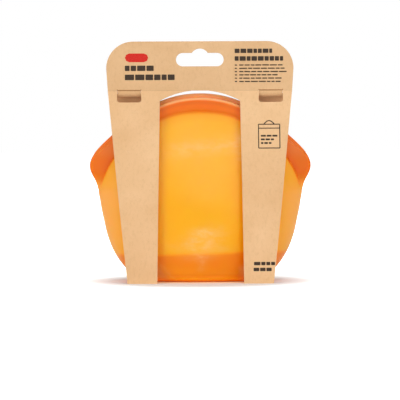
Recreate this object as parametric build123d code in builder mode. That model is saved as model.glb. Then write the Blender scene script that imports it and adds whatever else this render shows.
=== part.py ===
"""Reusable silicone food bag standing in its folded kraft card sleeve.

Frame: +Z up, front faces -Y, origin on the resting plane under the middle of
the object.  Millimetres.

The bag is one silicone moulding.  It is split here where it flexes or changes
section: base, front wall, back wall, the two arched lips of the mouth, the
seal bead on the front lip and the two ears in which the lips end.  The sleeve
is one die-cut card blank.  It is split at its creases: base panel, front and
back straps beside the window, front and back header, and two lock tabs.
"""

from build123d import *
import math
import os

os.makedirs("parts", exist_ok=True)

FRONT, BACK = -1, 1        # sign of y
LEFT, RIGHT = -1, 1        # sign of x

# ------------------------------------------------------------ bag dimensions
bag_floor = 0.8            # underside of the bag above the table
wall = 1.1                 # silicone wall
floor_t = 1.3              # silicone floor
base_cut = 6.0             # height where the base ends and the walls begin
cut_gap = 0.02             # each piece stops this far from a cutting plane
band_gap = 0.25            # the walls stop this far inside the mouth band

# Hollow
floor_half_w = 40.4        # half width and half depth of the hollow at the floor
floor_half_d = 22.6
floor_edge = 0.4           # half thickness of its side edge there
side_closed = 1.9          # side wall low down
side_open = -1.2           # negative: wider than the bag, so open sideways
open_from_z = 60.0         # the side wall goes from closed to open over this height
open_over = 9.0
min_edge = 0.35            # least half thickness of the hollow's side edge
hollow_over = 1.5          # the hollow runs this far out of the top of the bag
hollow_top_inset = 2.0     # and is this much narrower there

# Lips and ears
lip_face = 0.10            # each lip's inner face from the middle plane
lip_t = 2.2                # lip thickness
lip_round = 0.8
lip_back_rise = 2.7        # the back lip stands this much above the front lip
front_foot_flare = 1.2     # the front lip's outer edge moves out this much at its foot
ear_top = 79.4             # ears end here, lips begin just above
lip_gap = 0.5
lip_foot = ear_top + lip_gap
ear_top_outer_x = 73.95    # ends of the ear's top edge
ear_top_inner_x = 59.05
ear_round = 1.0

# Seal: a bead on the front lip and a channel in the back lip
seal_in = 6.3              # centre line, inward from the back lip's outer edge
bead_w = 1.5
bead_h = 0.95
bead_clear = 0.01          # the bead starts this far off the lip's face
bead_end_rise = 7.0        # the bead ends this far above the lip's foot
channel_w = 2.2
channel_d = 1.25
channel_end_rise = 4.6

# Bag sections: height, half width, half depth, how full the section is
# (0.5 is an ellipse, 1.0 a pointed lens), half thickness of the side edge.
sections = [
    (0.8,   37.5,  20.5,  0.50,  0.8),
    (1.9,   41.6,  23.8,  0.50,  0.8),
    (4.4,   45.6,  26.5,  0.50,  0.8),
    (8.0,   49.4,  28.4,  0.51,  0.8),
    (13.0,  53.6,  29.6,  0.52,  0.8),
    (20.0,  58.0,  30.3,  0.54,  0.8),
    (30.0,  62.1,  30.2,  0.57,  0.8),
    (42.0,  65.0,  28.8,  0.61,  0.8),
    (54.0,  67.0,  26.2,  0.66,  0.9),
    (63.0,  68.2,  23.3,  0.71,  1.3),
    (71.0,  64.6,  20.3,  0.75,  2.2),
    (80.0,  59.4,  16.6,  0.78,  2.3),
    (89.0,  53.4,  12.6,  0.82,  2.3),
    (97.0,  46.6,   9.0,  0.86,  2.3),
    (104.0, 38.6,   6.0,  0.90,  2.3),
    (109.5, 28.6,   3.9,  0.95,  2.3),
    (112.6, 19.2,   2.8,  1.00,  2.3),
    (114.5, 10.0,   2.4,  1.00,  2.3),
]

# Heights of the lofted sections, closer together near the floor
levels = [0.8, 1.3, 1.9, 3.0, 4.4, 6.0, 8.0, 10.4, 13.0, 16.2]
levels += [20.0 + 4.2 * i for i in range(22)]
levels += [110.6, 112.6, 114.5]
first_hollow_level = 4     # the hollow follows the bag from this level up

# Right half of the mouth band in front view, (x, z) from the middle of the
# arch down: outer edge, its continuation round the ear, and inner edge.
band_outer = [(0.0, 126.1), (13.5, 124.9), (26.7, 121.0), (40.0, 114.0), (50.0, 106.5),
              (58.8, 98.7), (65.8, 92.2), (69.7, 88.0), (72.4, 84.0)]
ear_outer = [(74.0, 79.8), (74.0, 75.8), (72.6, 72.0), (70.4, 68.6), (69.5, 64.0)]
band_inner = [(0.0, 114.9), (13.5, 113.7), (26.7, 109.7), (40.0, 102.4), (50.0, 92.6),
              (57.3, 82.4), (62.2, 73.8), (66.4, 66.4), (68.2, 63.6)]

# --------------------------------------------------------- sleeve dimensions
card = 0.6
crease_z = 127.9           # crease between straps and header
crease_gap = 0.05          # straps and header each stop this far from it
top_z = 161.0
head_half = 62.8           # half width of the header
crease_half = 61.8         # half width at the crease
foot_half = 48.5           # half width at the table
head_r = 18.0              # header's top corners
head_foot_y = 2.9          # header's inner face at the crease
head_top_y = 0.05          # and at the top edge, where the two layers meet

# Window
win_top_half = 26.9
win_foot_half = 28.7
win_side_top = 121.2
win_arch_top = 128.15

# Base panel and its notches, where the window runs under the bag
base_half_y = 30.8
base_margin = 0.2
notch_out = 4.0            # notch centre beyond base_half_y
notch_depth = 20.0
notch_r = 4.0

# Inside of the bowed straps: height, distance from the middle plane
strap_foot = 0.7
bow = [(0.7, 31.0), (10.0, 31.2), (20.0, 31.3), (31.0, 31.1), (45.0, 29.3), (60.0, 25.9),
       (75.0, 20.9), (90.0, 15.1), (100.0, 11.1), (108.0, 8.2), (115.0, 5.9), (121.5, 4.2),
       (127.85, 2.9)]

# Lock: slots in the front straps, tabs pushed through slits in the back ones
slot_x = 47.5              # centre of slot, slit and tab
slot_half = 8.2
slot_h = 7.8               # below the crease
slot_over = 1.0            # the cut runs this far above the crease
slot_taper = 0.5           # narrowing of each side towards the top
tab_half = 7.6
tab_start = 0.5            # from the tab's crease
tab_len = 6.95
tab_dip = 8.0              # degrees below level
tab_crease_y, tab_crease_z = -3.2, 127.55
lock_r = 2.0               # corners of slot and tab
slit_z = 126.2             # centre
slit_w = 2 * slot_half + 0.6
slit_h = 2.6

# Hang slot with a round bump on its upper edge
hang_half = 16.0
hang_h = 9.0
hang_z = 148.7
bump_r = 6.4
bump_z = 149.7
fill_drop = 8.0            # centre of the card refilled under the slot
fill_margin = 2.0          # and its reach beyond the bump on each side

# Reach of the cutting bodies past the object
half_span = 80.0           # in x, card profiles
strap_reach = 50.0         # in y
header_reach = 30.0
wall_reach = 40.0
wall_cut_x, wall_cut_z = 90.0, 140.0
wall_cut_drop = 2.0


# -------------------------------------------------------------- curve helpers
def mirrored(points):
    """Left half then right half of a curve that starts on the middle plane."""
    return [(-x, z) for x, z in reversed(points)] + list(points[1:])


def tangents(points):
    """Unit direction of the curve at each point, from its neighbours."""
    last = len(points) - 1
    found = []
    for i in range(last + 1):
        x0, z0 = points[max(0, i - 1)]
        x1, z1 = points[min(last, i + 1)]
        length = math.hypot(x1 - x0, z1 - z0)
        found.append(((x1 - x0) / length, (z1 - z0) / length))
    return found


def shifted(points, distance):
    """The curve moved towards the outside of the arch."""
    return [(x - along_z * distance, z + along_x * distance)
            for (x, z), (along_x, along_z) in zip(points, tangents(points))]


def above(points, z_low):
    """A mirrored curve cut off at z_low on both sides."""
    # points just above the cut are left out, so none crowds the new end
    kept = [p for p in points if p[1] > z_low + 0.3]
    first, last = points.index(kept[0]), points.index(kept[-1])

    def crossing(start, end):
        part_way = (z_low - start[1]) / (end[1] - start[1])
        return (start[0] + (end[0] - start[0]) * part_way, z_low)

    return ([crossing(points[first - 1], points[first])] + kept
            + [crossing(points[last], points[last + 1])])


def closed_band(upper, lower):
    """Draw the outline between two open curves that run the same way."""
    Spline(*upper)
    Line(upper[-1], lower[-1])
    Spline(*reversed(lower))
    Line(lower[0], upper[0])


def strip(centre, width):
    """Draw a closed band of the given width round an open curve."""
    closed_band(shifted(centre, width / 2), shifted(centre, -width / 2))


full_outer = mirrored(band_outer + ear_outer)
full_inner = mirrored(band_inner)
seal_path = shifted(full_outer, -seal_in)


# ------------------------------------------------------------------ bag walls
def half_ring(half_w, half_d, full, edge):
    """Points of the front half of a section, from -X to +X."""
    count = 16
    points = []
    for i in range(count + 1):
        angle = math.pi * i / count
        rise = max(0.0, math.sin(angle)) ** (2 * full)
        points.append((-half_w * math.cos(angle), -(edge + (half_d - edge) * rise)))
    return points


# the same knots for every section, so that the loft between them stays smooth
knot_ring = half_ring(half_w=60.0, half_d=24.0, full=0.62, edge=1.0)
steps = [math.dist(p, q) for p, q in zip(knot_ring, knot_ring[1:])]
knots = [sum(steps[:i]) / sum(steps) for i in range(len(steps) + 1)]


def section_face(z, half_w, half_d, full, edge):
    with BuildSketch(Plane.XY.offset(z)) as made:
        with BuildLine():
            front = half_ring(half_w, half_d, full, edge)
            back = [(x, -y) for x, y in reversed(front)]
            add(Edge.make_spline([Vector(x, y) for x, y in front], parameters=knots))
            Line(front[-1], back[0])
            add(Edge.make_spline([Vector(x, y) for x, y in back], parameters=knots))
            Line(back[-1], front[0])
        make_face()
    return made.sketch.faces()[0]


def hollow_section(z, half_w, half_d, full, edge):
    """The bag's section less its wall, open sideways where the lips begin."""
    opening = min(1.0, max(0.0, (z - open_from_z) / open_over))
    side = side_closed + (side_open - side_closed) * opening
    return (z, half_w - side, half_d - wall, full, max(min_edge, edge - wall))


def section_at(z):
    """The section at height z, from a smooth cubic curve through the table."""
    last = len(sections) - 1
    k = max(i for i in range(last) if sections[i][0] <= z)
    low, high = sections[k], sections[k + 1]
    before, after = sections[max(0, k - 1)], sections[min(last, k + 2)]
    rise = high[0] - low[0]
    u = (z - low[0]) / rise
    values = [z]
    for j in range(1, 5):
        low_slope = (high[j] - before[j]) / (high[0] - before[0])
        high_slope = (after[j] - low[j]) / (after[0] - low[0])
        values.append((2 * u ** 3 - 3 * u ** 2 + 1) * low[j]
                      + (u ** 3 - 2 * u ** 2 + u) * rise * low_slope
                      + (3 * u ** 2 - 2 * u ** 3) * high[j]
                      + (u ** 3 - u ** 2) * rise * high_slope)
    return tuple(values)


def make_bag_shell():
    hollow = [(bag_floor + floor_t, floor_half_w, floor_half_d, 0.50, floor_edge)]
    hollow += [hollow_section(*section_at(z)) for z in levels[first_hollow_level:-1]]
    z, half_w, half_d, full, edge = sections[-1]
    hollow.append(hollow_section(z + hollow_over, half_w - hollow_top_inset, half_d, full, edge))

    with BuildPart() as inside:
        loft(sections=[section_face(*s) for s in hollow], ruled=True)

    with BuildPart() as shell:
        loft(sections=[section_face(*section_at(z)) for z in levels], ruled=True)
        add(inside.part, mode=Mode.SUBTRACT)
    return shell.part


def make_bag_base(shell):
    with BuildPart() as made:
        add(shell)
        split(bisect_by=Plane.XY.offset(base_cut - cut_gap), keep=Keep.BOTTOM)
    return made.part


def make_front_wall(shell):
    with BuildPart() as made:
        add(shell)
        split(bisect_by=Plane.XY.offset(base_cut + cut_gap), keep=Keep.TOP)
        split(bisect_by=Plane.XZ.offset(cut_gap), keep=Keep.TOP)
        # the wall stops just short of the band
        with BuildSketch(Plane.XZ.offset(-wall_reach)):
            with BuildLine():
                rim = shifted(full_inner, -band_gap)
                Spline(*rim)
                Polyline(rim[-1], (wall_cut_x, rim[-1][1] - wall_cut_drop),
                         (wall_cut_x, wall_cut_z), (-wall_cut_x, wall_cut_z),
                         (-wall_cut_x, rim[0][1] - wall_cut_drop), rim[0])
            make_face()
        extrude(amount=2 * wall_reach, mode=Mode.SUBTRACT)
    return made.part


def mirror_image(part, plane):
    with BuildPart() as made:
        add(mirror(part, about=plane, mode=Mode.PRIVATE))
    return made.part


# ------------------------------------------------------------------ lips, ears
def lip_top(side):
    """Outer edge of the front or back lip, down to its foot."""
    if side == BACK:
        return above(full_outer, lip_foot)
    top = above(shifted(full_outer, -lip_back_rise), lip_foot)
    # brings the lower front lip out towards the ear's outline at its ends
    top[0] = (top[0][0] - front_foot_flare, lip_foot)
    top[-1] = (top[-1][0] + front_foot_flare, lip_foot)
    return top


def seal_rim(side):
    with BuildPart() as made:
        with BuildSketch(Plane.XZ.offset(-side * lip_face)):
            with BuildLine():
                closed_band(lip_top(side), above(full_inner, lip_foot))
            make_face()
        extrude(amount=-side * lip_t)
        # round the longest edge of the face turned away from the other lip
        outside = 0 if side == FRONT else -1
        fillet(made.edges().group_by(Axis.Y)[outside].sort_by(SortBy.LENGTH)[-1], lip_round)
        if side == BACK:
            with BuildSketch(Plane.XZ.offset(-lip_face)):
                with BuildLine():
                    strip(above(seal_path, lip_foot + channel_end_rise), channel_w)
                make_face()
            extrude(amount=-channel_d, mode=Mode.SUBTRACT)
    return made.part


def make_seal_bead():
    with BuildPart() as made:
        with BuildSketch(Plane.XZ.offset(lip_face - bead_clear)):
            with BuildLine():
                strip(above(seal_path, lip_foot + bead_end_rise), bead_w)
            make_face()
        extrude(amount=-bead_h)
    return made.part


def make_right_ear():
    outer = [p for p in ear_outer if p[1] < ear_top]
    inner = [p for p in band_inner if p[1] < ear_top]
    outer_start = (ear_top_outer_x, ear_top)
    inner_start = (ear_top_inner_x, ear_top)
    half_t = lip_face + lip_t
    with BuildPart() as made:
        with BuildSketch(Plane.XZ.offset(half_t)):
            with BuildLine():
                Spline(outer_start, *outer)
                Line(outer[-1], inner[-1])
                Spline(*reversed(inner), inner_start)
                Line(inner_start, outer_start)
            make_face()
        extrude(amount=-2 * half_t)
        # the outermost curved edge, then the outermost of the frontmost ones
        fillet(made.edges().filter_by(GeomType.BSPLINE).sort_by(Axis.X)[-1], ear_round)
        fillet(made.edges().filter_by(GeomType.BSPLINE).group_by(Axis.Y)[0].sort_by(Axis.X)[-1],
               ear_round)
    return made.part


# --------------------------------------------------------------- card sleeve
def make_base_panel():
    with BuildPart() as made:
        with BuildSketch(Plane.XY):
            Rectangle(2 * foot_half, 2 * (base_half_y + card + base_margin))
        extrude(amount=card)
        with BuildSketch(Plane.XY):
            for side in (FRONT, BACK):
                with Locations((0, side * (base_half_y + notch_out))):
                    RectangleRounded(2 * win_foot_half, notch_depth, notch_r)
        extrude(amount=card, mode=Mode.SUBTRACT)
    return made.part


def bowed_profile(depth_side):
    """Draw the side view of a bowed strap."""
    inside = [(depth_side * y, z) for z, y in bow]
    outside = [(y + depth_side * abs(along_z) * card, z)
               for (y, z), (_, along_z) in zip(inside, tangents(inside))]
    closed_band(inside, outside)


def strap_outline(side):
    """Draw the front view of the left or right strap."""
    strap_top = crease_z - crease_gap
    arch_rise = win_arch_top - win_side_top
    arch_r = (win_top_half ** 2 + arch_rise ** 2) / (2 * arch_rise)
    arch_centre_z = win_arch_top - arch_r
    # where the window's arch meets the top of the strap, and a point half way
    tip_x = math.sqrt(arch_r ** 2 - (strap_top - arch_centre_z) ** 2)
    mid_x = (win_top_half + tip_x) / 2
    mid_z = arch_centre_z + math.sqrt(arch_r ** 2 - mid_x ** 2)
    tip = (side * tip_x, strap_top)
    arch_foot = (side * win_top_half, win_side_top)
    Polyline(tip, (side * crease_half, strap_top), (side * foot_half, strap_foot),
             (side * win_foot_half, strap_foot), arch_foot)
    ThreePointArc(arch_foot, (side * mid_x, mid_z), tip)


def slot_outline(side):
    """Draw the lock slot, rounded at its lower corners."""
    left, right = side * slot_x - slot_half, side * slot_x + slot_half
    low, high = crease_z - slot_h, crease_z + slot_over
    r = lock_r
    Polyline((left + slot_taper, high), (left, low + r))
    RadiusArc((left, low + r), (left + r, low), -r)
    Line((left + r, low), (right - r, low))
    RadiusArc((right - r, low), (right, low + r), -r)
    Polyline((right, low + r), (right - slot_taper, high), (left + slot_taper, high))


def strap(depth_side, side):
    with BuildPart() as made:
        with BuildSketch(Plane.YZ):
            with BuildLine():
                bowed_profile(depth_side)
            make_face()
        extrude(amount=half_span, both=True)
        with BuildSketch(Plane.XZ.offset(-strap_reach)):
            with BuildLine():
                strap_outline(side)
            make_face()
        extrude(amount=2 * strap_reach, mode=Mode.INTERSECT)
        if depth_side == FRONT:      # the slot that the lock tab is cut from
            with BuildSketch(Plane.XZ):
                with BuildLine():
                    slot_outline(side)
                make_face()
            extrude(amount=strap_reach, mode=Mode.SUBTRACT)
        else:                        # the slit that the lock tab is pushed through
            with BuildSketch(Plane.XZ):
                with Locations((side * slot_x, slit_z)):
                    Rectangle(slit_w, slit_h)
            extrude(amount=-strap_reach, mode=Mode.SUBTRACT)
    return made.part


def header(side):
    foot_z = crease_z + crease_gap
    shoulder_z = top_z - head_r
    flat_half = head_half - head_r
    corner_in = head_r * (1 - math.sqrt(0.5))
    arc_x, arc_z = head_half - corner_in, top_z - corner_in
    with BuildPart() as made:
        with BuildSketch(Plane.YZ):
            with BuildLine():
                Polyline((side * head_foot_y, foot_z), (side * head_top_y, top_z),
                         (side * (head_top_y + card), top_z),
                         (side * (head_foot_y + card), foot_z), close=True)
            make_face()
        extrude(amount=half_span, both=True)
        with BuildSketch(Plane.XZ.offset(-header_reach)):
            with BuildLine():
                Polyline((-head_half, shoulder_z), (-crease_half, crease_z),
                         (crease_half, crease_z), (head_half, shoulder_z))
                ThreePointArc((head_half, shoulder_z), (arc_x, arc_z), (flat_half, top_z))
                Line((flat_half, top_z), (-flat_half, top_z))
                ThreePointArc((-flat_half, top_z), (-arc_x, arc_z), (-head_half, shoulder_z))
            make_face()
            with Locations((0, hang_z)):
                SlotOverall(2 * hang_half, hang_h, mode=Mode.SUBTRACT)
            with Locations((0, bump_z)):
                Circle(bump_r, mode=Mode.SUBTRACT)
            # fill the circle again where it reaches below the slot
            with Locations((0, hang_z - fill_drop)):
                Rectangle(2 * (bump_r + fill_margin), 2 * fill_drop - hang_h, mode=Mode.ADD)
        extrude(amount=2 * header_reach, mode=Mode.INTERSECT)
    return made.part


def lock_tab(side):
    dip = math.radians(tab_dip)
    plane = Plane(origin=(side * slot_x, tab_crease_y, tab_crease_z), x_dir=(1, 0, 0),
                  z_dir=(0, math.sin(dip), math.cos(dip)))
    shoulder = tab_len - lock_r
    end_half = tab_half - lock_r
    with BuildPart() as made:
        with BuildSketch(plane):
            with BuildLine():
                Polyline((-tab_half, shoulder), (-tab_half, tab_start),
                         (tab_half, tab_start), (tab_half, shoulder))
                RadiusArc((tab_half, shoulder), (end_half, tab_len), -lock_r)
                Line((end_half, tab_len), (-end_half, tab_len))
                RadiusArc((-end_half, tab_len), (-tab_half, shoulder), -lock_r)
            make_face()
        extrude(amount=card / 2, both=True)
    return made.part


# --------------------------------------------------------------------- export
bag_shell = make_bag_shell()
front_wall = make_front_wall(bag_shell)
right_ear = make_right_ear()

pieces = {
    "bag_base": make_bag_base(bag_shell),
    "bag_front_wall": front_wall,
    "bag_back_wall": mirror_image(front_wall, Plane.XZ),
    "front_seal_rim": seal_rim(FRONT),
    "seal_bead": make_seal_bead(),
    "back_seal_rim": seal_rim(BACK),
    "left_ear": mirror_image(right_ear, Plane.YZ),
    "right_ear": right_ear,
    "sleeve_base_panel": make_base_panel(),
    "front_left_strap": strap(FRONT, LEFT),
    "front_right_strap": strap(FRONT, RIGHT),
    "front_header": header(FRONT),
    "back_left_strap": strap(BACK, LEFT),
    "back_right_strap": strap(BACK, RIGHT),
    "back_header": header(BACK),
    "left_lock_tab": lock_tab(LEFT),
    "right_lock_tab": lock_tab(RIGHT),
}

for name, piece in pieces.items():
    piece.label = name
    export_step(piece, f"parts/{name}.step")
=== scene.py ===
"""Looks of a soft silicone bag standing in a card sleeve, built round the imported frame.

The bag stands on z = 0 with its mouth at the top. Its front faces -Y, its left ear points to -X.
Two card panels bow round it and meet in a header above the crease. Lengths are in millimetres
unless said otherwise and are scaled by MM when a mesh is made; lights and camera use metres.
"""

import math

import bmesh
import bpy
import numpy as np
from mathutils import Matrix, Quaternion, Vector
from mathutils.bvhtree import BVHTree

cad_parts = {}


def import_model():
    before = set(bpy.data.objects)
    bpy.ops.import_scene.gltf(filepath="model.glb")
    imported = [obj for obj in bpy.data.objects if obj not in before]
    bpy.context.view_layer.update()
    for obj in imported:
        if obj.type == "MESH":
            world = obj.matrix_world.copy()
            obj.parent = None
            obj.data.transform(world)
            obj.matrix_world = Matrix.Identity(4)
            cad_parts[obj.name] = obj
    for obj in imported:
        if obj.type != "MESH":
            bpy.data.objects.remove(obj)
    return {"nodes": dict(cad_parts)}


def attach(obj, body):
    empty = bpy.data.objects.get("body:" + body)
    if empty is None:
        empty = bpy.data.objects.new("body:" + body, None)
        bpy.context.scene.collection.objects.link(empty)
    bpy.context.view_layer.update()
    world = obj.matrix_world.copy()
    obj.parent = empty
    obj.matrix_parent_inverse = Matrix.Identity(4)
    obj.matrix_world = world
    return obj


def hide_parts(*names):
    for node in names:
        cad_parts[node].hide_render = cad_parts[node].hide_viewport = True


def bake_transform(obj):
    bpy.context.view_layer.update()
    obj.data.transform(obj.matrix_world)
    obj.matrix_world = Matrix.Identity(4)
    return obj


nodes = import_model()["nodes"]
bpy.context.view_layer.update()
MM = 0.001

# ------------------------------------------------------------ shape of the bag
# z, half width, half depth, fullness, half thickness of the side edge
SECTIONS = np.array([
    (0.8, 37.5, 20.5, 0.50, 0.8), (1.9, 41.6, 23.8, 0.50, 0.8), (4.4, 45.6, 26.5, 0.50, 0.8),
    (8.0, 49.4, 28.4, 0.51, 0.8), (13.0, 53.6, 29.6, 0.52, 0.8), (20.0, 58.0, 30.3, 0.54, 0.8),
    (30.0, 62.1, 30.2, 0.57, 0.8), (42.0, 65.0, 28.8, 0.61, 0.8), (54.0, 67.3, 26.2, 0.66, 0.9),
    (63.0, 68.2, 23.3, 0.71, 1.3), (71.0, 64.6, 20.3, 0.75, 2.2), (80.0, 59.4, 16.6, 0.78, 2.3),
    (89.0, 53.4, 12.6, 0.82, 2.3), (97.0, 46.6, 9.0, 0.86, 2.3), (104.0, 38.6, 6.0, 0.90, 2.3),
    (109.5, 28.6, 3.9, 0.95, 2.3), (112.6, 19.2, 2.8, 1.00, 2.3), (114.6, 9.0, 2.4, 1.00, 2.3),
    (115.4, 2.0, 2.3, 1.00, 2.3)])
# right half of the mouth band's outer edge, ears included: x, z from the middle outwards
OUTER = [(0.0, 126.1), (13.5, 124.9), (26.7, 121.0), (40.0, 114.0), (50.0, 106.5), (58.8, 98.7),
         (65.8, 92.2), (69.7, 88.0), (72.4, 84.0), (74.0, 79.8), (74.0, 75.8), (72.6, 71.9),
         (70.9, 68.8), (69.6, 65.7), (68.75, 62.7), (68.1, 60.0)]
# right half of the band's inner edge, where it meets the wall: x, z
INNER = [(0.0, 114.9), (13.5, 113.7), (26.7, 109.7), (40.0, 102.4), (50.0, 92.9), (57.9, 83.5),
         (62.75, 75.6), (65.75, 68.6), (67.05, 63.9), (67.75, 59.8)]
WALL = 1.1
EDGE_MAX = 2.3          # half thickness of the band
LIP_STEP = 2.7          # how far the front lip's rim stands below the back lip's
SEAL_INSET = 6.3        # from the band's outer edge to the middle of bead and groove
SIDE_REACH = 68.0       # half width against which the tones of the sides are set


def hermite(xs, ys, x):
    """Smooth curve through the table, with slopes from the neighbours."""
    xs, ys = np.asarray(xs, float), np.asarray(ys, float)
    x = np.atleast_1d(np.asarray(x, float))
    slopes = np.gradient(ys, xs)
    k = np.clip(np.searchsorted(xs, x, side="right") - 1, 0, len(xs) - 2)
    step = xs[k + 1] - xs[k]
    u = np.clip((x - xs[k]) / step, 0, 1)
    return ((2 * u ** 3 - 3 * u ** 2 + 1) * ys[k] + (u ** 3 - 2 * u ** 2 + u) * step * slopes[k]
            + (3 * u ** 2 - 2 * u ** 3) * ys[k + 1] + (u ** 3 - u ** 2) * step * slopes[k + 1])


def section(z):
    """Half width, half depth, fullness and edge of the bag at height z."""
    return [float(hermite(SECTIONS[:, 0], SECTIONS[:, j], z)[0]) for j in range(1, 5)]


def rise(start, end, x):
    """Eased step from 0 at start to 1 at end."""
    share = np.clip((np.asarray(x, float) - start) / (end - start), 0, 1)
    return share * share * (3 - 2 * share)


def fall(start, end, x):
    return 1 - rise(start, end, x)


def hump(up_start, up_end, down_start, down_end, x):
    return rise(up_start, up_end, x) * fall(down_start, down_end, x)


def bell(offset, spread):
    return np.exp(-(offset / spread) ** 2)


def whole(points):
    """A right half mirrored to the whole curve, from left to right."""
    return np.array([(-x, z) for x, z in reversed(points)] + list(points[1:]), float)


def lengths_along(points):
    steps = np.linalg.norm(np.diff(points, axis=0), axis=1)
    return np.concatenate([[0], np.cumsum(steps)])


def along(points, count):
    """Evenly spaced points along a smooth curve through the points."""
    points = np.asarray(points, float)
    coarse = lengths_along(points)
    fine = np.linspace(0, coarse[-1], 1200)
    dense = np.column_stack([hermite(coarse, column, fine) for column in points.T])
    travelled = lengths_along(dense)
    even = np.linspace(0, travelled[-1], count)
    return np.column_stack([np.interp(even, travelled, column) for column in dense.T])


def normal_at(line, k):
    """Unit vector to the left of the line's direction at its point k."""
    way = line[min(len(line) - 1, k + 1)] - line[max(0, k - 1)]
    way = way / np.linalg.norm(way)
    return np.array([-way[1], way[0]])


INNER_LINE = along(whole(INNER), 400)


def inner_half_width(z):
    """Where the wall meets the mouth band at height z."""
    right = INNER_LINE[len(INNER_LINE) // 2:]
    return float(np.interp(z, right[::-1, 1], right[::-1, 0]))


# ---------------------------------------------------------------- mesh helpers
def mesh_object(name, points_mm, faces, shaded=True):
    mesh = bpy.data.meshes.new(name)
    mesh.from_pydata([tuple(float(c) * MM for c in p) for p in points_mm], [], faces)
    mesh.validate()
    mesh.update()
    if shaded:
        mesh.polygons.foreach_set("use_smooth", [True] * len(mesh.polygons))
    item = bpy.data.objects.new(name, mesh)
    bpy.context.scene.collection.objects.link(item)
    return item


def fix_normals(item):
    edit = bmesh.new()
    edit.from_mesh(item.data)
    bmesh.ops.recalc_face_normals(edit, faces=edit.faces)
    edit.to_mesh(item.data)
    edit.free()
    item.data.update()


def tidy(item):
    """Joins points that fall together and drops faces that have no area."""
    edit = bmesh.new()
    edit.from_mesh(item.data)
    bmesh.ops.remove_doubles(edit, verts=edit.verts, dist=1e-6)
    bmesh.ops.dissolve_degenerate(edit, edges=edit.edges, dist=1e-7)
    edit.to_mesh(item.data)
    edit.free()


def slab_faces(rows, cols, start=0, wrap=False):
    """Faces of a closed slab: one grid of points from start on, its twin grid right after it.

    wrap joins the last column to the first.
    """
    twin = rows * cols
    last = cols if wrap else cols - 1
    faces = []

    def corners(r, c):
        a, b = start + r * cols + c, start + r * cols + (c + 1) % cols
        return a, b

    for r in range(rows - 1):
        for c in range(last):
            a, b = corners(r, c)
            faces.append((a, b, b + cols, a + cols))
            faces.append((twin + a, twin + a + cols, twin + b + cols, twin + b))
    for c in range(last):
        a, b = corners(0, c)
        faces.append((a, twin + a, twin + b, b))
        a, b = corners(rows - 1, c)
        faces.append((a, b, twin + b, twin + a))
    if not wrap:
        for r in range(rows - 1):
            a = start + r * cols
            faces.append((a, a + cols, twin + a + cols, twin + a))
            a += cols - 1
            faces.append((a, twin + a, twin + a + cols, a + cols))
    return faces


def shell(name, outer, inner, sharp_deg, wrap=False):
    """A closed skin between two grids of the same size."""
    rows, cols = outer.shape[:2]
    points = np.concatenate([outer.reshape(-1, 3), inner.reshape(-1, 3)])
    item = mesh_object(name, points, slab_faces(rows, cols, wrap=wrap))
    tidy(item)
    fix_normals(item)
    item.data.set_sharp_from_angle(angle=math.radians(sharp_deg))
    return item


def sweep(name, rings, sharp_deg):
    """A closed solid through rings of points, with both ends capped."""
    rings = np.asarray(rings, float)
    count, size = rings.shape[:2]
    faces = []
    for i in range(count - 1):
        for j in range(size):
            a, b = i * size + j, i * size + (j + 1) % size
            faces.append((a, b, b + size, a + size))
    faces.append(tuple(range(size - 1, -1, -1)))
    faces.append(tuple((count - 1) * size + j for j in range(size)))
    item = mesh_object(name, rings.reshape(-1, 3), faces)
    fix_normals(item)
    item.data.set_sharp_from_angle(angle=math.radians(sharp_deg))
    return item


def add_attributes(item, **values):
    """Point attributes, each given as one number or as a value for every point."""
    for name, value in values.items():
        layer = item.data.attributes.new(name, "FLOAT", "POINT")
        layer.data.foreach_set("value", np.full(len(item.data.vertices), value, np.float32))


def coords_mm(item):
    flat = np.zeros(len(item.data.vertices) * 3, np.float32)
    item.data.vertices.foreach_get("co", flat)
    return flat.reshape(-1, 3).astype(float) / MM


def inner_line_distance(coords):
    """Distance of each point from the band's inner edge, seen from the front."""
    best = np.full(len(coords), 1e9)
    for x, z in INNER_LINE[::2]:
        best = np.minimum(best, np.hypot(coords[:, 0] - x, coords[:, 2] - z))
    return best


# -------------------------------------------------------------- shader helpers
def feed(tree, target, values):
    """Fills a node's inputs: sockets are linked, anything else becomes the default."""
    for key, value in values.items():
        if hasattr(value, "is_output"):
            tree.links.new(value, target.inputs[key])
        else:
            target.inputs[key].default_value = value


def node(tree, kind, inputs=None, **settings):
    made = tree.nodes.new(kind)
    for key, value in settings.items():
        setattr(made, key, value)
    feed(tree, made, inputs or {})
    return made


def material(name):
    made = bpy.data.materials.new(name)
    made.use_nodes = True
    tree = made.node_tree
    tree.nodes.clear()
    out = tree.nodes.new("ShaderNodeOutputMaterial")
    bsdf = tree.nodes.new("ShaderNodeBsdfPrincipled")
    tree.links.new(bsdf.outputs[0], out.inputs[0])
    return made, tree, bsdf


def srgb(*levels):
    """Linear colour from 0-255 display levels."""
    shares = [level / 255.0 for level in levels]
    return (*(s / 12.92 if s <= 0.04045 else ((s + 0.055) / 1.055) ** 2.4 for s in shares), 1.0)


def grey(level):
    return (level, level, level, 1)


def object_coords(tree):
    return node(tree, "ShaderNodeTexCoord").outputs["Object"]


def reading(tree, name):
    return node(tree, "ShaderNodeAttribute", attribute_name=name).outputs["Fac"]


def noise(tree, coords, scale, detail, rough=0.55, stretch=None):
    if stretch:
        coords = node(tree, "ShaderNodeMapping",
                      {"Vector": coords, "Scale": stretch}).outputs["Vector"]
    return node(tree, "ShaderNodeTexNoise", {"Vector": coords, "Scale": scale, "Detail": detail,
                                             "Roughness": rough}).outputs["Fac"]


def ramp(tree, fac, stops):
    made = node(tree, "ShaderNodeValToRGB", {"Fac": fac})
    elements = made.color_ramp.elements
    while len(elements) < len(stops):
        elements.new(0.5)
    for element, (position, colour) in zip(elements, stops):
        element.position = position
        element.color = colour
    return made.outputs["Color"]


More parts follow.
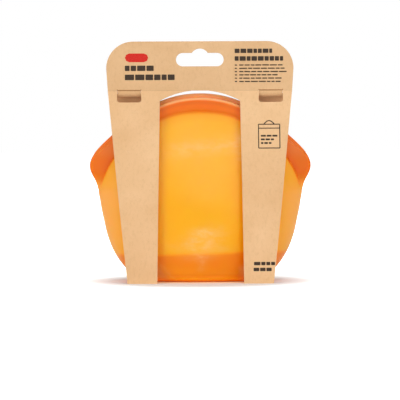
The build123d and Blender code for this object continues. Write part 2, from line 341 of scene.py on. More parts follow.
def mix(tree, fac, base, other, blend="MIX"):
    return node(tree, "ShaderNodeMix", {0: fac, 6: base, 7: other},
                data_type="RGBA", blend_type=blend).outputs[2]


def maths(tree, operation, first, second, clamp=False):
    return node(tree, "ShaderNodeMath", {0: first, 1: second},
                operation=operation, use_clamp=clamp).outputs[0]


def bump(tree, height, strength, distance):
    return node(tree, "ShaderNodeBump", {"Height": height, "Strength": strength,
                                         "Distance": distance}).outputs["Normal"]


def occlusion(tree, distance):
    return node(tree, "ShaderNodeAmbientOcclusion", {"Distance": distance}, samples=8).outputs["AO"]


# ------------------------------------------------------------------- materials
def silicone():
    """Translucent silicone, steered by point attributes.

    deep: thin wall (0) to mouth band (1); haze, bloom: paler, mostly painted highlight and sheen, with
    pale fold lines; shade: painted shade, darker; glow: emission, painted glow.
    """
    made, tree, bsdf = material("silicone")
    where = object_coords(tree)
    deep = reading(tree, "deep")
    cloud = maths(tree, "SUBTRACT", noise(tree, where, scale=38.0, detail=3.0), 0.5)
    depth = maths(tree, "ADD", deep, maths(tree, "MULTIPLY", cloud, 0.16), clamp=True)
    colour = ramp(tree, depth, [(0.0, srgb(252, 174, 12)), (0.30, srgb(250, 154, 6)),
                                (0.62, srgb(240, 130, 10)), (1.0, srgb(236, 107, 0))])
    # painted sheen of the lamps and pale fold lines, broken up by a noise mask
    patchy = noise(tree, where, scale=150.0, detail=5.0, rough=0.62, stretch=(0.8, 1.0, 1.6))
    sheen_breakup = ramp(tree, patchy, [(0.36, grey(0.25)), (0.66, grey(1))])
    bloom = maths(tree, "MULTIPLY", reading(tree, "bloom"), sheen_breakup, clamp=True)
    colour = mix(tree, bloom, colour, srgb(255, 206, 140))
    # painted highlight and sheen, with some plain paleness: mixes towards pale peach
    colour = mix(tree, reading(tree, "haze"), colour, srgb(249, 181, 125))
    # painted shade: a darker red-orange line
    colour = mix(tree, reading(tree, "shade"), colour, srgb(196, 84, 26))
    # painted sheen: surfaces seen edge-on are paler, most of all where thin
    facing = node(tree, "ShaderNodeLayerWeight", {"Blend": 0.35}).outputs["Facing"]
    edge = maths(tree, "MULTIPLY", maths(tree, "POWER", facing, 2.5),
                 maths(tree, "SUBTRACT", 0.42, maths(tree, "MULTIPLY", deep, 0.26)))
    colour = mix(tree, edge, colour, srgb(255, 180, 100))
    grain = noise(tree, where, scale=900.0, detail=2.0)
    gloss = maths(tree, "MULTIPLY", noise(tree, where, scale=160.0, detail=3.0), 0.18)
    feed(tree, bsdf, {
        "Base Color": colour,
        "Roughness": maths(tree, "ADD", gloss, 0.27),
        "Subsurface Weight": 0.45,
        "Subsurface Radius": (1.0, 0.40, 0.08),
        "Subsurface Scale": 0.004,
        # light scattered about inside the hollow comes back through the wall as an orange glow
        "Emission Color": (1.0, 0.16, 0.0, 1.0),
        "Emission Strength": reading(tree, "glow"),
        "IOR": 1.41,
        "Specular IOR Level": maths(tree, "SUBTRACT", 0.34, maths(tree, "MULTIPLY", deep, 0.12)),
        "Coat Weight": 0.05,
        "Coat Roughness": 0.30,
        "Normal": bump(tree, grain, strength=0.05, distance=0.0004)})
    return made


def kraft(name, tint, recess=0.0):
    """Uncoated kraft card: mottled tone, long and short fibres, dark and pale flecks."""
    made, tree, bsdf = material(name)
    where = object_coords(tree)
    cloud = noise(tree, where, scale=22.0, detail=5.0, rough=0.6)
    colour = ramp(tree, cloud, [(0.28, srgb(226, 180, 130)), (0.72, srgb(240, 198, 150))])
    upright = noise(tree, where, scale=640.0, detail=4.0, rough=0.7, stretch=(1.0, 1.0, 0.45))
    colour = mix(tree, ramp(tree, upright, [(0.34, grey(0.15)), (0.50, grey(0))]),
                 colour, srgb(188, 140, 92))
    across = noise(tree, where, scale=760.0, detail=3.0, rough=0.7, stretch=(0.35, 1.0, 1.0))
    colour = mix(tree, ramp(tree, across, [(0.58, grey(0)), (0.76, grey(0.16))]),
                 colour, srgb(250, 218, 176))
    fleck = node(tree, "ShaderNodeTexVoronoi", {"Vector": where, "Scale": 620.0})
    colour = mix(tree, ramp(tree, fleck.outputs["Distance"], [(0.05, grey(0.35)), (0.13, grey(0))]),
                 colour, srgb(150, 104, 64))
    colour = mix(tree, 1.0, colour, (*tint, 1.0), "MULTIPLY")
    if recess:      # light is lost in the narrow gap between the two layers of card
        closed = maths(tree, "SUBTRACT", 1.0, occlusion(tree, distance=0.007))
        colour = mix(tree, maths(tree, "MULTIPLY", closed, recess, clamp=True),
                     colour, srgb(118, 76, 34))
    height = maths(tree, "ADD", upright, maths(tree, "MULTIPLY", cloud, 0.6))
    feed(tree, bsdf, {
        "Base Color": colour,
        "Roughness": maths(tree, "ADD", maths(tree, "MULTIPLY", upright, 0.2), 0.68),
        "Specular IOR Level": 0.25,
        "Normal": bump(tree, height, strength=0.22, distance=0.00012)})
    return made


def ink(name, colour, worn):
    """Printed ink on card, a little broken up by the card's grain."""
    made, tree, bsdf = material(name)
    grain = noise(tree, object_coords(tree), scale=1400.0, detail=3.0, rough=0.7)
    wear = ramp(tree, grain, [(0.50, grey(0)), (0.78, grey(0.5))])
    feed(tree, bsdf, {
        "Base Color": mix(tree, wear, colour, worn),
        "Roughness": 0.7,
        "Specular IOR Level": 0.2,
        "Normal": bump(tree, grain, strength=0.1, distance=0.00005)})
    return made


SILICONE = silicone()
CARD = kraft("kraft_card", tint=(0.965,) * 3)
# painted shade: the header uses a darker copy of the kraft card
CARD_HEAD_SHADED = kraft("kraft_card_header_shaded", tint=(0.875,) * 3)
CARD_CUT = kraft("kraft_card_cut", tint=(0.50, 0.38, 0.27))
CARD_SCORE = kraft("kraft_card_score", tint=(0.78,) * 3)
# painted shade: the tab, set back in the slot, is tinted darker and darkened more in the gap
CARD_TAB = kraft("kraft_card_tab", tint=(0.90, 0.87, 0.83), recess=0.72)
CARD_REAR = kraft("kraft_card_rear", tint=(0.965,) * 3, recess=0.50)
INK_DARK = ink("ink_dark", colour=srgb(62, 50, 40), worn=srgb(110, 88, 66))
INK_RED = ink("ink_red", colour=srgb(205, 38, 30), worn=srgb(222, 92, 66))


def finish_bag_part(item, stands, lip=None):
    """Silicone, and what the part stands for hidden; with a lip its transform is baked, without one it
    rides on the bag.
    """
    item.data.materials.append(SILICONE)
    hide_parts(*stands)
    if lip:
        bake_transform(item)
    else:
        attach(item, "bag")


# ---------------------------------------------------------------- the bag walls
WALL_COLUMNS = 96
WALL_LEVELS = np.concatenate([
    np.linspace(0, 1, 9)[:-1] ** 1.6 * 1.1 + 0.8, np.linspace(1.9, 8.0, 9)[:-1],
    np.linspace(8.0, 60.0, 40)[:-1], np.linspace(60.0, 104.0, 40)[:-1],
    np.linspace(104.0, 114.2, 14)])
# painted reflections of the lamps, pale patches low on the front: amount, x, spread in x, z, slope,
# spread in z
SHEEN_PATCHES = [(0.64, 3.0, 11.0, 30.3, 0.12, 5.6), (0.28, -11.0, 9.0, 24.8, 0.0, 2.4),
           (0.30, 2.0, 15.0, 22.6, 0.0, 2.6), (0.30, 1.5, 4.6, 34.0, 0.0, 2.6),
           (0.22, -2.0, 10.0, 18.0, 0.0, 3.0)]


def unevenness(x, z):
    """Gentle dents and swells of a soft standing bag, outwards."""
    calm = hump(2.0, 16.0, 92.0, 110.0, z)
    return calm * (0.55 * np.sin(x / 17.0 + 0.6) * np.sin(z / 21.0 + 0.4)
                   + 0.30 * np.sin(x / 9.5 - z / 24.0 + 1.9)
                   - 0.50 * np.exp(-((z - 62.0) / 17.0) ** 2) * np.cos(x / 30.0))


def wall_rows(side):
    """Outer and inner grids of one half of the bag; side -1 is the front."""
    angle = np.linspace(0, math.pi, WALL_COLUMNS)
    angle = angle - 0.10 * np.sin(2 * angle)     # more columns near the side edges
    swell = np.clip(np.sin(angle), 0, 1)
    outer, inner = [], []
    for z in WALL_LEVELS:
        half, depth, full, edge = section(z)
        if z > 60.0:      # past the ears' feet the wall ends at the mouth band
            share = rise(60.0, 66.0, z)
            half = half * (1 - share) + (inner_half_width(z) + 0.15) * share
        x = -half * np.cos(angle)
        bulge = swell ** (2 * full)
        ripple = unevenness(x, z) if side < 0 else unevenness(-x + 7, z + 5)
        y = edge + (depth - edge) * bulge + ripple * swell ** 2
        skin = np.column_stack([x, side * y, np.full(WALL_COLUMNS, z)])
        closed = 1.0 - rise(60.0, 68.0, z)
        half_in = half - 1.6 * closed - 0.05
        edge_in = np.maximum(edge - WALL, 0.0) * (1 - closed)
        y_in = edge_in + (depth - WALL) * bulge - edge_in * bulge + ripple * swell ** 2
        lining = np.column_stack([-half_in * np.cos(angle), side * np.maximum(y_in, 0.0),
                                  np.full(WALL_COLUMNS, max(z, 2.0))])
        # carry the edge round towards the middle plane
        turned = side * (0.02 if edge < 2.25 and z < 66 else min(edge, 2.2) * 0.6)
        outer.append(np.vstack([[[skin[0, 0], turned, z]], skin, [[skin[-1, 0], turned, z]]]))
        inner.append(np.vstack([lining[:1], lining, lining[-1:]]))
    return np.array(outer), np.array(inner)


def wall_looks(item):
    """Tones of a wall: deep near the band, the ears and in the foot, with painted shade beside the
    straps and painted sheen on the flanks and where the lamps reflect.
    """
    coords = coords_mm(item)
    x, y, z = coords.T
    near = inner_line_distance(coords)
    spread = np.abs(x) / SIDE_REACH
    flank = rise(0.60, 0.98, spread)
    # the root of the mouth band, wider and softer high up
    high = rise(80.0, 100.0, z)
    band = 0.95 * fall(0.3, 1.5 + 2.0 * high, near) * (0.12 + 0.88 * rise(62.0, 73.0, z))
    band = band + 0.15 * high * hump(1.5, 3.6, 3.6, 9.0, near)
    # the foot with its wavy upper limit, paler at the very bottom
    foot = 0.58 * fall(17.7, 21.0, z - 0.03 * np.clip(x, -30, 30) + 0.2 * np.sin(x / 6.0))
    foot = foot - 0.10 * fall(6.0, 15.0, z)
    lowest = 0.52 * fall(1.2, 5.0, z)
    sides = 0.08 * rise(0.80, 1.0, spread)
    # painted shade: deeper upright strips beside the straps on both halves, stronger on the right; a
    # little painted glow goes with them
    strap_shade = 0.19 * hump(17.0, 31.0, 33.0, 60.0, x) + 0.10 * hump(19.0, 31.0, 33.0, 60.0, -x)
    strap_shade = strap_shade * (1 - 0.5 * rise(70.0, 100.0, z))
    deep = np.clip(np.maximum(band, foot) + sides + strap_shade - lowest, 0, 1)
    glow = 0.045 + 0.20 * fall(0.8, 6.0, z) + 0.9 * np.clip(strap_shade, 0, 1) * 0.12 + 0.05 * flank
    # painted sheen: the flanks are paler, less so high up
    pale = 0.42 * flank * rise(2.0, 30.0, z) * (1 - band)
    pale = pale * (1 - 0.65 * rise(56.0, 70.0, z))
    # painted sheen of the lamps: a paler level stripe and an upright one
    sheen_stripes = 0.30 * bell(z - 89.5 - 0.10 * x, 5.2) * rise(-34.0, -8.0, x)
    sheen_stripes += 0.26 * bell(x - 27.5, 4.0) * hump(72.0, 86.0, 98.0, 108.0, z)
    patch = sum(amount * np.exp(-((x - at_x) / wide) ** 2 - ((z - at_z - slope * x) / tall) ** 2)
                for amount, at_x, wide, at_z, slope, tall in SHEEN_PATCHES)
    patch += 0.26 * bell(x - 0.5, 2.6) * hump(6.0, 12.0, 17.0, 22.0, z)
    # the slanting folds where the foot's lower corners turn under
    fold = bell(z - 6.9 - 1.02 * (-x - 21.6), 1.5) * hump(15.0, 18.0, 27.0, 30.0, -x)
    fold += bell(z - 4.6 + 1.5 * (x - 28.9), 1.7) * hump(24.5, 27.0, 30.5, 33.0, x)
    patch += 0.20 * np.clip(fold, 0, 1) * fall(13.0, 16.0, z)
    # the areas beyond those folds
    corner = rise(0.0, 4.0, -x - 21.6 - (z - 6.9) / 1.02 - 1.2) * fall(13.0, 17.5, z)
    corner = corner * fall(33.0, 42.0, -x)
    corner += hump(24.5, 28.0, 33.0, 42.0, x) * fall(9.0, 14.0, z)
    front = (y < 0).astype(float)
    # painted light: a paler upright strip beside the left strap
    left_strip_lit = 0.10 * hump(21.0, 27.0, 29.0, 42.0, -x) * (1 - band)
    pale = pale + front * (0.30 * corner + left_strip_lit)
    bloom = sheen_stripes * (0.5 + 0.5 * front) + patch * front
    add_attributes(item, deep=deep, glow=glow, haze=np.clip(pale, 0, 1),
                   bloom=np.clip(bloom, 0, 1))


for side, name, lip, node_name in ((-1, "bag_front_skin", "front_lip", "bag_front_wall"),
                                   (1, "bag_back_skin", "back_lip", "bag_back_wall")):
    skin = shell(name, *wall_rows(side), sharp_deg=60)
    wall_looks(skin)
    finish_bag_part(skin, (node_name,), lip)


def bag_foot():
    """Floor of the bag: a plate whose rim is buried in the walls."""
    count = 120
    theta = np.linspace(0, 2 * math.pi, count, endpoint=False)
    lower, upper = [], []
    for share in np.linspace(0.02, 1.0, 22):
        x, y = 39.4 * share * np.cos(theta), 22.0 * share * np.sin(theta)
        lower.append(np.column_stack([x, y, np.full(count, 0.82 + 0.10 * share ** 4)]))
        upper.append(np.column_stack([x, y, np.full(count, 2.25 + 0.25 * share ** 6)]))
    item = shell("bag_foot", np.array(lower), np.array(upper), sharp_deg=50, wrap=True)
    add_attributes(item, deep=0.55, haze=0.0, glow=0.12)
    finish_bag_part(item, ("bag_base",))


bag_foot()

# ----------------------------------------------------------- mouth band and ears
STATIONS = 260


def band_profile(side, width, thick, rim_z):
    """Cross-section of a lip: distance out from the inner edge, distance from the middle plane."""
    size = min(1.0, width / 9.0)
    gap = 0.1 - 0.085 * (1 - float(rise(80.0, 86.5, rim_z)))      # the ears' halves lie closed
    rim_r = min(1.55 * size, 0.62 * thick)
    small_r = 0.3 * min(size, thick / 1.6)
    profile = [(-1.7 * size, thick * 0.62), (-0.9 * size, thick * 0.90), (-0.1, thick * 0.995),
               (0.8 * size, thick + 0.04), (width * 0.35, thick), (width * 0.6, thick),
               (width - 1.6 * rim_r, thick)]
    for angle in np.radians(np.linspace(0, 90, 7)):
        profile.append((width - rim_r + rim_r * math.sin(angle),
                        thick - rim_r + rim_r * math.cos(angle)))
    profile += [(width, min(thick * 0.35 + 0.1, thick - rim_r - 0.02)), (width, gap + small_r),
                (width - small_r * 0.3, gap + small_r * 0.3), (width - small_r, gap)]
    # the groove for the seal bead is in the back lip only; in the front lip its depth is zero
    groove = 1.25 * float(rise(84.0, 87.5, rim_z)) if side > 0 else 0.0
    middle = width - SEAL_INSET + (LIP_STEP if side < 0 else 0.0)
    middle = max(middle, 0.35 * width)
    half, slant = 1.1 * size, 0.35 * size
    profile += [(middle + half + slant, gap), (middle + half, gap + 0.05 * groove),
                (middle + half - 0.06, gap + 0.86 * groove), (middle + half - slant, gap + groove),
                (middle - half + slant, gap + groove), (middle - half + 0.06, gap + 0.86 * groove),
                (middle - half, gap + 0.05 * groove), (middle - half - slant, gap)]
    return profile + [(0.0, gap), (-1.7 * size, gap)]


def band_tones(side, z, from_rim):
    """Deep, paleness with painted sheen, and painted shade of a band point at height z, so far in from
    the rim.
    """
    arch = float(rise(94.0, 111.0, z))
    crown = 0.30 * arch + 0.70 * float(rise(111.0, 124.5, z))
    if side < 0:      # the rounded edge of the front lip catches the light
        haze = crown * float(fall(0.9, 2.3, from_rim)) * (0.35 + 0.65 * float(rise(0.0, 0.5, from_rim)))
        # painted shade: a darker line just below the rounded edge
        shade = 0.30 * arch * float(hump(1.9, 2.8, 3.4, 5.2, from_rim))
    else:             # the strip of the back lip that stands above the front one
        # painted sheen: the back lip's strip above the front lip is paler
        haze = 0.85 * crown * float(fall(2.4, 3.6, from_rim))
        shade = 0.0
    haze += 0.13 * float(hump(80.0, 90.0, 96.0, 106.0, z))
    haze += 0.30 * float(fall(62.0, 70.0, z))
    low = 0.72 * float(fall(62.0, 73.0, z)) + 0.07 * float(fall(88.0, 100.0, z))
    # paler right at the rim on the arch, part of the painted highlight
    deep = 0.92 - low - 0.30 * arch * float(fall(0.8, 2.4, from_rim))
    return deep, haze, shade


def lip_band(side, name, lip, stands):
    """One lip with its halves of both ears; side -1 is the front lip."""
    rings, tones = [], []
    for rim, root in zip(along(whole(OUTER), STATIONS), along(whole(INNER), STATIONS)):
        if side < 0:
            step = LIP_STEP * rise(80.0, 97.0, rim[1])
            rim = rim + (root - rim) / np.linalg.norm(root - rim) * step
        across = rim - root
        width = float(np.linalg.norm(across))
        across = across / width
        edge = section(root[1])[3] if root[1] < 80 else EDGE_MAX
        thick = float(np.clip(edge, 1.0, EDGE_MAX))
        ring = []
        for out, lift in band_profile(side, width, thick, rim[1]):
            x, z = root + across * out
            ring.append((x, side * lift, z))
            tones.append(band_tones(side, z, width - out))
        rings.append(ring)
    item = sweep(name, rings, sharp_deg=50)
    deep, haze, shade = np.array(tones).T
    # painted shade: the ear's inner strip next to the strap is a little deeper in tone
    coords = coords_mm(item)
    z = coords[:, 2]
    ear_shade = hump(70.0, 76.0, 84.0, 92.0, z) * fall(1.0, 4.5, inner_line_distance(coords))
    add_attributes(item, deep=np.clip(deep + 0.14 * ear_shade, 0, 1), haze=haze, shade=shade,
                   glow=0.02 + 0.06 * fall(62.0, 70.0, z))
    finish_bag_part(item, stands, lip)


lip_band(-1, "front_lip_band", "front_lip", ("front_seal_rim", "left_ear", "right_ear"))
lip_band(1, "back_lip_band", "back_lip", ("back_seal_rim",))


def seal_bead():
    """Round bead on the inside of the front lip, tapered at both ends."""
    radius, height, sunk = 0.75, 0.85, -0.30
    rim = along(whole(OUTER), 400)
    line = [rim[k] - normal_at(rim, k) * SEAL_INSET for k in range(1, len(rim) - 1)]
    line = along([point for point in line if point[1] > 86.9], 180)
    profile = [(-radius, sunk), (-radius, 0.0)]
    profile += [(radius * math.sin(angle), height * math.cos(angle) ** 0.7)
                for angle in np.radians(np.linspace(-78, 78, 9))]
    profile += [(radius, 0.0), (radius, sunk)]
    rings = []
    for k, (x, z) in enumerate(line):
        normal = normal_at(line, k)
        end = min(k, len(line) - 1 - k) / 6.0
        size = math.sqrt(max(0.02, 1 - (1 - min(1.0, end)) ** 2))
        rings.append([(x + normal[0] * out * size, -0.1 + (lift * size if lift > 0 else lift),
                       z + normal[1] * out * size) for out, lift in profile])
    item = sweep("seal_bead_round", rings, sharp_deg=60)
    add_attributes(item, deep=0.85, haze=0.0)
    finish_bag_part(item, ("seal_bead",), "front_lip")


seal_bead()

# -------------------------------------------------------------------- card sleeve
CARD_NODES = ["sleeve_base_panel", "front_left_strap", "front_right_strap", "front_header",
              "back_left_strap", "back_right_strap", "back_header", "left_lock_tab", "right_lock_tab"]
# inner face of a strap: z, distance from the middle plane
STRAP_BOW = np.array([(0.7, 31.0), (10.0, 31.2), (20.0, 31.3), (31.0, 31.1), (45.0, 29.3),
                      (60.0, 25.9), (75.0, 20.9), (90.0, 15.1), (100.0, 11.1), (108.0, 8.2),
                      (115.0, 5.9), (121.5, 4.2), (127.85, 2.9)])
# fold at the foot of a strap: outer face y, z; inner face y, z
CARD_THICK = 0.6
LAP = 0.03              # how far a fold stands proud of the panels it laps
FOOT_FOLD = [(30.2, 0.0, 30.2, CARD_THICK + LAP), (30.8, 0.0, 30.6, CARD_THICK + LAP),
             (31.3, 0.0, 30.85, 0.64), (31.57, 0.04, 30.93, 0.69), (31.63, 0.25, 30.97, 0.78),
             (31.64, 0.6, 30.98, 0.95), (31.65, 1.0, 30.99, 1.2), (31.66, 1.6, 30.99, 1.6)]
FOOT_FOLD_X = (28.72, 48.48)
CREASE = 127.9
HEADER_FOOT, HEADER_TOP = 127.95, 161.0
WINDOW_HALF, WINDOW_RISE, WINDOW_TOP = 26.9, 6.95, 128.15      # arched top of the window
ARCH_R = (WINDOW_HALF ** 2 + WINDOW_RISE ** 2) / (2 * WINDOW_RISE)
SLOT_X = 47.5           # middle of each lock slot and its tab
# lock tab seen from the side, root to tip: y, z
TAB_LINE = [(-3.12, 127.86), (-2.85, 126.3), (-2.2, 125.05), (-1.1, 124.2), (0.4, 123.9),
            (2.0, 124.45), (3.7, 125.62)]
TAB_HALF_THICK = 0.29
TAB_LENGTH = 8.6
TAB_TIP_R = 2.0

for name in CARD_NODES:
    panel = nodes[name].data
    panel.materials.clear()
    panel.materials.append(CARD_HEAD_SHADED if "header" in name
                           else CARD_REAR if name.startswith("back_") else CARD)
    panel.polygons.foreach_set("use_smooth", [True] * len(panel.polygons))
    panel.set_sharp_from_angle(angle=math.radians(35))


def lock_tab(name, stands, body, x_mid):
    """A card tab bent back from the crease, its tip pushed through the back layer's slit."""
    line = along(TAB_LINE, 26)
    top, low = [], []
    for k, point in enumerate(line):
        to_tip = (len(line) - 1 - k) / (len(line) - 1)
        left = to_tip * TAB_LENGTH
        half = 8.1 - 0.10 * to_tip
        if point[1] > 125.9:      # in the slot's own thickness it keeps clear of the slot's sides
            half = min(half, 8.13 - 0.5 * (point[1] - 122.1) / 6.8)
        if left < TAB_TIP_R:
            half = half - TAB_TIP_R + math.sqrt(max(0.0, TAB_TIP_R ** 2 - (TAB_TIP_R - left) ** 2))
        offset = normal_at(line, k) * TAB_HALF_THICK
        for grid, (y, z) in ((top, point + offset), (low, point - offset)):
            grid.append([(x_mid + x, y, z) for x in np.linspace(-half, half, 12)])
    item = shell(name, np.array(top), np.array(low), sharp_deg=40)
    item.data.materials.append(CARD_TAB)
    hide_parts(stands)
    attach(item, body)


lock_tab("left_tab_bent", "left_lock_tab", "tab_left", -SLOT_X)
lock_tab("right_tab_bent", "right_lock_tab", "tab_right", SLOT_X)


def card_fold(name, rows, spans):
    """Bent card that laps two panels.

    rows hold y, z of the outer face and of the inner one, spans the ends in x of each row.
    """
    outer, inner = [], []
    for (y_out, z_out, y_in, z_in), span in zip(rows, spans):
        xs = np.linspace(*sorted(span), 14)
        outer.append([(x, y_out, z_out) for x in xs])
        inner.append([(x, y_in, z_in) for x in xs])
    item = shell(name, np.array(outer), np.array(inner), sharp_deg=50)
    for look in (CARD, CARD_SCORE, CARD_HEAD_SHADED):
        item.data.materials.append(look)
    for face in item.data.polygons:      # scored line at the crease, header card above it
        z = face.center.z / MM
        face.material_index = 1 if abs(z - CREASE) < 0.16 else (2 if z > CREASE else 0)
    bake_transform(item)


def window_edge(z):
    """Half width of the window's arch near the crease."""
    drop = max(WINDOW_TOP - min(z, 127.85), 0.3)
    return math.sqrt(max(ARCH_R ** 2 - (ARCH_R - drop) ** 2, 0.0))


def panel_inside(z):
    """The inner face of the card near the crease: strap below it, header above it."""
    if z <= CREASE:
        return float(hermite(STRAP_BOW[:, 0], STRAP_BOW[:, 1], min(z, 127.85))[0])
    return 2.9 - (z - HEADER_FOOT) * (2.9 - 0.05) / (HEADER_TOP - HEADER_FOOT)


def card_folds(sign, face, slot_inner, slot_outer):
    """Folds of one face (sign -1 is the front), on both sides of the slots and at the foot."""
    rows = []
    for z in np.linspace(CREASE - 1.2, CREASE + 1.2, 17):
        y = panel_inside(z)
        rows.append((sign * (y + CARD_THICK + LAP), z, sign * (y - LAP), z))
    foot_rows = [(sign * y_out, z_out, sign * y_in, z_in) for y_out, z_out, y_in, z_in in FOOT_FOLD]
    for side, side_name in ((-1, "left"), (1, "right")):
        prefix = "fold_%s_%s_" % (face, side_name)
        spans = {"inner": [(side * (window_edge(row[1]) + 0.15), side * slot_inner) for row in rows],
                 "outer": [(side * slot_outer, side * 61.7)] * len(rows)}
        for part_name, span in spans.items():
            card_fold(prefix + part_name, rows, span)
        card_fold(prefix + "foot", foot_rows, [[side * x for x in FOOT_FOLD_X]] * len(foot_rows))


card_folds(-1, "front", slot_inner=39.0, slot_outer=55.9)
card_folds(1, "back", slot_inner=38.8, slot_outer=56.2)


# ------------------------------------------------------------ printing on the card
def tree_of(name):
    mesh = nodes[name].data
    return BVHTree.FromPolygons([v.co.copy() for v in mesh.vertices],
                                [tuple(p.vertices) for p in mesh.polygons])


def on_card(tree, x, z, lift):
    """The point on the card's front face at (x, z), lifted off it; None off the card."""
    hit = tree.ray_cast(Vector((x * MM, -0.2, z * MM)), Vector((0, 1, 0)))[0]
    return None if hit is None else (x, hit.y / MM - lift, z)


def decal(name, shapes, tree, body, look, lift=0.035):
    """Printing: each shape is a grid of (x, z) points, laid on the card as a thin film."""
    points, faces = [], []
    for grid in shapes:
        grid = np.asarray(grid, float)
        top = [on_card(tree, x, z, lift) for x, z in grid.reshape(-1, 2)]
        if None in top:      # a shape that runs off the card is left out
            continue
        faces += slab_faces(*grid.shape[:2], start=len(points))
        points += top + [(x, y + lift * 0.8, z) for x, y, z in top]
    item = mesh_object(name, points, faces, shaded=False)
    fix_normals(item)
    item.data.materials.append(look)
    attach(item, body)


def bar(left, bottom, right, top, radius=0.35):
    """A rounded bar as a grid."""
    radius = min(radius, (right - left) / 2, (top - bottom) / 2)
    heights = [bottom, bottom + 0.3 * radius, bottom + radius,
               *np.linspace(bottom + radius, top - radius, 4)[1:-1],
               top - radius, top - 0.3 * radius, top]
    insets = [radius, 0.3 * radius, 0, 0, 0, 0, 0.3 * radius, radius]
    return [[(left + inset, z), ((left + right) / 2, z), (right - inset, z)]
            for z, inset in zip(heights, insets)]


def stroke(points, width):
    """A line of the given width as a grid."""
    points = np.asarray(points, float)
    grid = []
    for k, point in enumerate(points):
        offset = normal_at(points, k) * width / 2
        grid.append([point + offset, point - offset])
    return grid


def straight(start, end):
    """Nine even points from start to end."""
    start, end = np.array(start), np.array(end)
    return [start + (end - start) * k / 8 for k in range(9)]


def words(left, right, bottom, top, cells, seed, gap):
    """A line of greeked print: blocks of different lengths, no letters."""
    widths = np.random.default_rng(seed).uniform(0.7, 1.5, cells)
    widths = widths / widths.sum() * (right - left - gap * (cells - 1))
    blocks, x = [], left
    for width in widths:
        blocks.append(bar(x, bottom, x + width, top))
        x += width + gap
    return blocks


WIDE_GAP, GAP, SMALL_GAP = 0.668, 0.5344, 0.4676
# lines of print: left, right, bottom, top, blocks, seed, gap
HEADLINES = [(-50.3004, -30.9284, 141.2152, 144.8224, 4, 3, WIDE_GAP),
             (-50.3004, -16.9004, 135.0696, 138.8104, 6, 5, WIDE_GAP),
             (23.38, 48.5636, 152.972, 155.9112, 7, 7, GAP),
             (23.38, 55.9116, 147.7616, 150.8344, 9, 8, GAP)]
AMOUNT_LINES = [(35.2704, 49.1648, 12.0908, 14.2952, 4, 51, GAP),
                (35.0032, 49.6992, 8.1496, 10.4208, 4, 52, GAP)]
# bulleted list on the header: right end of each line, from the top down
LIST_ENDS = (55.5776, 56.9136, 58.2496, 52.2376, 54.9096, 54.2416)
LIST_TOP, LIST_PITCH = 144.956, 2.2044
# box of the pictogram on the right strap, and its print lines: z, right end, seed
BOX_LEFT, BOX_RIGHT, BOX_BOTTOM, BOX_TOP = 39.0112, 53.1728, 89.3784, 105.21
BOX_LINES = ((97.528, 51.5696, 136), (95.1232, 49.2316, 139), (92.7184, 47.5616, 143))
SLOT_HALF, CUT_FOOT = 8.0, 127.98


def header_print():
    shapes = []
    for line in HEADLINES:
        shapes += words(*line)
    for k, end in enumerate(LIST_ENDS):
        z = LIST_TOP - LIST_PITCH * k
        bottom, top = z - 0.4342, z + 0.3674
        shapes += words(23.38, 24.9832, bottom, top, 1, 20 + k, SMALL_GAP)
        shapes += words(26.3192, end, bottom, top, 7, 30 + k, SMALL_GAP)
    return shapes


def slot_cuts():
    """The cut line above each lock slot, with a short upright cut at either end."""
    shapes = []
    for middle in (-SLOT_X, SLOT_X):
        shapes.append(bar(middle - SLOT_HALF, CUT_FOOT, middle + SLOT_HALF, 128.56, 0.14))
        for x in (middle - SLOT_HALF, middle + SLOT_HALF):
            shapes.append(bar(x - 0.2, CUT_FOOT, x + 0.2, 129.0, 0.14))
    return shapes


def pictogram():
    """A box with a line below its top, an arc above it and three lines of print in it."""
    corners = [(BOX_LEFT, BOX_TOP), (BOX_LEFT, BOX_BOTTOM), (BOX_RIGHT, BOX_BOTTOM),
               (BOX_RIGHT, BOX_TOP)]
    shapes = [stroke(straight(corners[k], corners[(k + 1) % 4]), 0.66) for k in range(4)]
    shapes.append(stroke(straight((BOX_LEFT, 102.6048), (BOX_RIGHT, 102.6048)), 0.62))
    arc = [(42.4848 + 7.2144 * k / 14, BOX_TOP + 2.4048 * math.sin(math.pi * k / 14))
           for k in range(15)]
    shapes.append(stroke(arc, 0.70))
    for z, end, seed in BOX_LINES:
        shapes += words(40.4808, end, z - 0.6012, z + 0.6012, 3, seed, GAP)
    return shapes


header_tree = tree_of("front_header")
right_tree = tree_of("front_right_strap")
header_mark = bar(-50.2336, 147.0936, -34.6024, 152.972, radius=2.9)
amount = [block for line in AMOUNT_LINES for block in words(*line)]
decal("header_print", header_print(), header_tree, "header_front", INK_DARK)
decal("crease_cuts", slot_cuts(), header_tree, "header_front", CARD_CUT, lift=0.03)
decal("header_mark", [header_mark], header_tree, "header_front", INK_RED)
decal("strap_pictogram", pictogram(), right_tree, "sleeve_front", INK_DARK)
decal("strap_amount_print", amount, right_tree, "sleeve_front", INK_DARK)


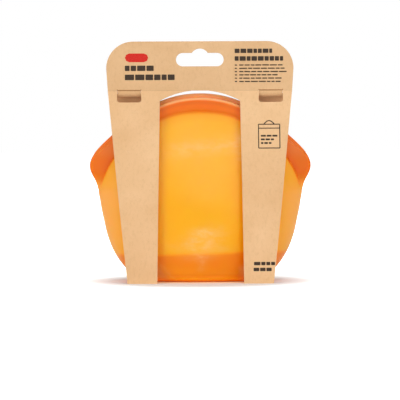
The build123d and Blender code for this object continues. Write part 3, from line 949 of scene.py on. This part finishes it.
# ------------------------------------------------------- floor, light, camera (metres)
def floor_pale():
    """Pale floor that the camera sees glow to white away from the bag, but for soft contact shadow."""
    made, tree, bsdf = material("floor_pale")
    where = object_coords(tree)
    pale = ramp(tree, noise(tree, where, scale=3.0, detail=2.0),
                [(0.3, grey(0.93)), (0.7, grey(0.95))])
    away = node(tree, "ShaderNodeVectorMath", {0: where}, operation="LENGTH").outputs["Value"]
    spread = node(tree, "ShaderNodeMapRange",
                  {"Value": away, "From Min": 0.050, "From Max": 0.104},
                  interpolation_type="SMOOTHSTEP").outputs["Result"]
    seen = node(tree, "ShaderNodeLightPath").outputs["Is Camera Ray"]
    openness = occlusion(tree, distance=0.035)
    shine = maths(tree, "MULTIPLY", maths(tree, "MULTIPLY", spread, seen),
                  maths(tree, "POWER", openness, 1.3))
    shade = maths(tree, "MULTIPLY", maths(tree, "SUBTRACT", 1.0, openness), spread)
    feed(tree, bsdf, {
        "Base Color": mix(tree, maths(tree, "MULTIPLY", shade, seen), pale, (0.30, 0.29, 0.28, 1.0)),
        "Emission Color": (1, 1, 1, 1),
        "Emission Strength": shine,
        "Roughness": 0.9,
        "Specular IOR Level": 0.0})
    return made


def add_floor():
    mesh = bpy.data.meshes.new("floor")
    mesh.from_pydata([(-6, -6, 0), (6, -6, 0), (6, 6, 0), (-6, 6, 0)], [], [(0, 1, 2, 3)])
    floor = bpy.data.objects.new("floor", mesh)
    bpy.context.scene.collection.objects.link(floor)
    mesh.materials.append(floor_pale())


def add_world():
    """Soft white light all round; the camera sees it as pure white."""
    world = bpy.data.worlds.new("studio")
    bpy.context.scene.world = world
    world.use_nodes = True
    tree = world.node_tree
    tree.nodes.clear()
    out = node(tree, "ShaderNodeOutputWorld")
    ambient, behind = (node(tree, "ShaderNodeBackground", {"Color": grey(1.0), "Strength": strength})
                       for strength in (0.33, 1.0))
    path = node(tree, "ShaderNodeLightPath")
    blend = node(tree, "ShaderNodeMixShader", {0: path.outputs["Is Camera Ray"],
                                               1: ambient.outputs[0], 2: behind.outputs[0]})
    feed(tree, out, {0: blend.outputs[0]})


LIGHT_AIM = Vector((0, 0, 0.07))
# name, place, width and height, watts
LIGHTS = [("key", (1.51, -1.94, 1.72), (1.4, 1.4), 21.0),
          ("fill", (-2.13, -1.92, 0.88), (1.8, 1.8), 25.0),
          ("front", (0.14, -3.0, 0.26), (0.36, 0.46), 7.0),
          ("top", (0.0, -1.95, 2.05), (1.1, 0.6), 14.5),
          ("back", (0.0, 2.4, 1.3), (2.4, 1.6), 34.0)]


def add_light(name, place, size, watts):
    data = bpy.data.lights.new(name, "AREA")
    data.shape = "RECTANGLE"
    data.size, data.size_y = size
    data.energy = watts
    light = bpy.data.objects.new(name, data)
    light.location = place
    light.rotation_euler = (LIGHT_AIM - Vector(place)).to_track_quat("-Z", "Y").to_euler()
    light.visible_camera = False
    bpy.context.scene.collection.objects.link(light)


def add_camera():
    """A long lens in front, slightly raised and rolled."""
    view_width = 0.2672      # what the frame spans at the aim
    elevation, roll = math.radians(1.8), math.radians(0.25)
    aim = Vector((0.0, -0.012, 0.0548))
    data = bpy.data.cameras.new("camera")
    data.lens = 250.0
    data.sensor_width = 36.0
    data.shift_x = -0.0010
    data.clip_end = 20.0
    camera = bpy.data.objects.new("camera", data)
    bpy.context.scene.collection.objects.link(camera)
    distance = view_width * data.lens / data.sensor_width
    camera.location = aim + Vector((0, -math.cos(elevation), math.sin(elevation))) * distance
    facing = (aim - camera.location).to_track_quat("-Z", "Y")
    camera.rotation_euler = (facing @ Quaternion((0, 0, 1), -roll)).to_euler()
    bpy.context.scene.camera = camera


add_floor()
add_world()
for light_row in LIGHTS:
    add_light(*light_row)
add_camera()
view = bpy.context.scene.view_settings
view.view_transform = "Standard"
view.look = "None"
view.exposure = 0.0
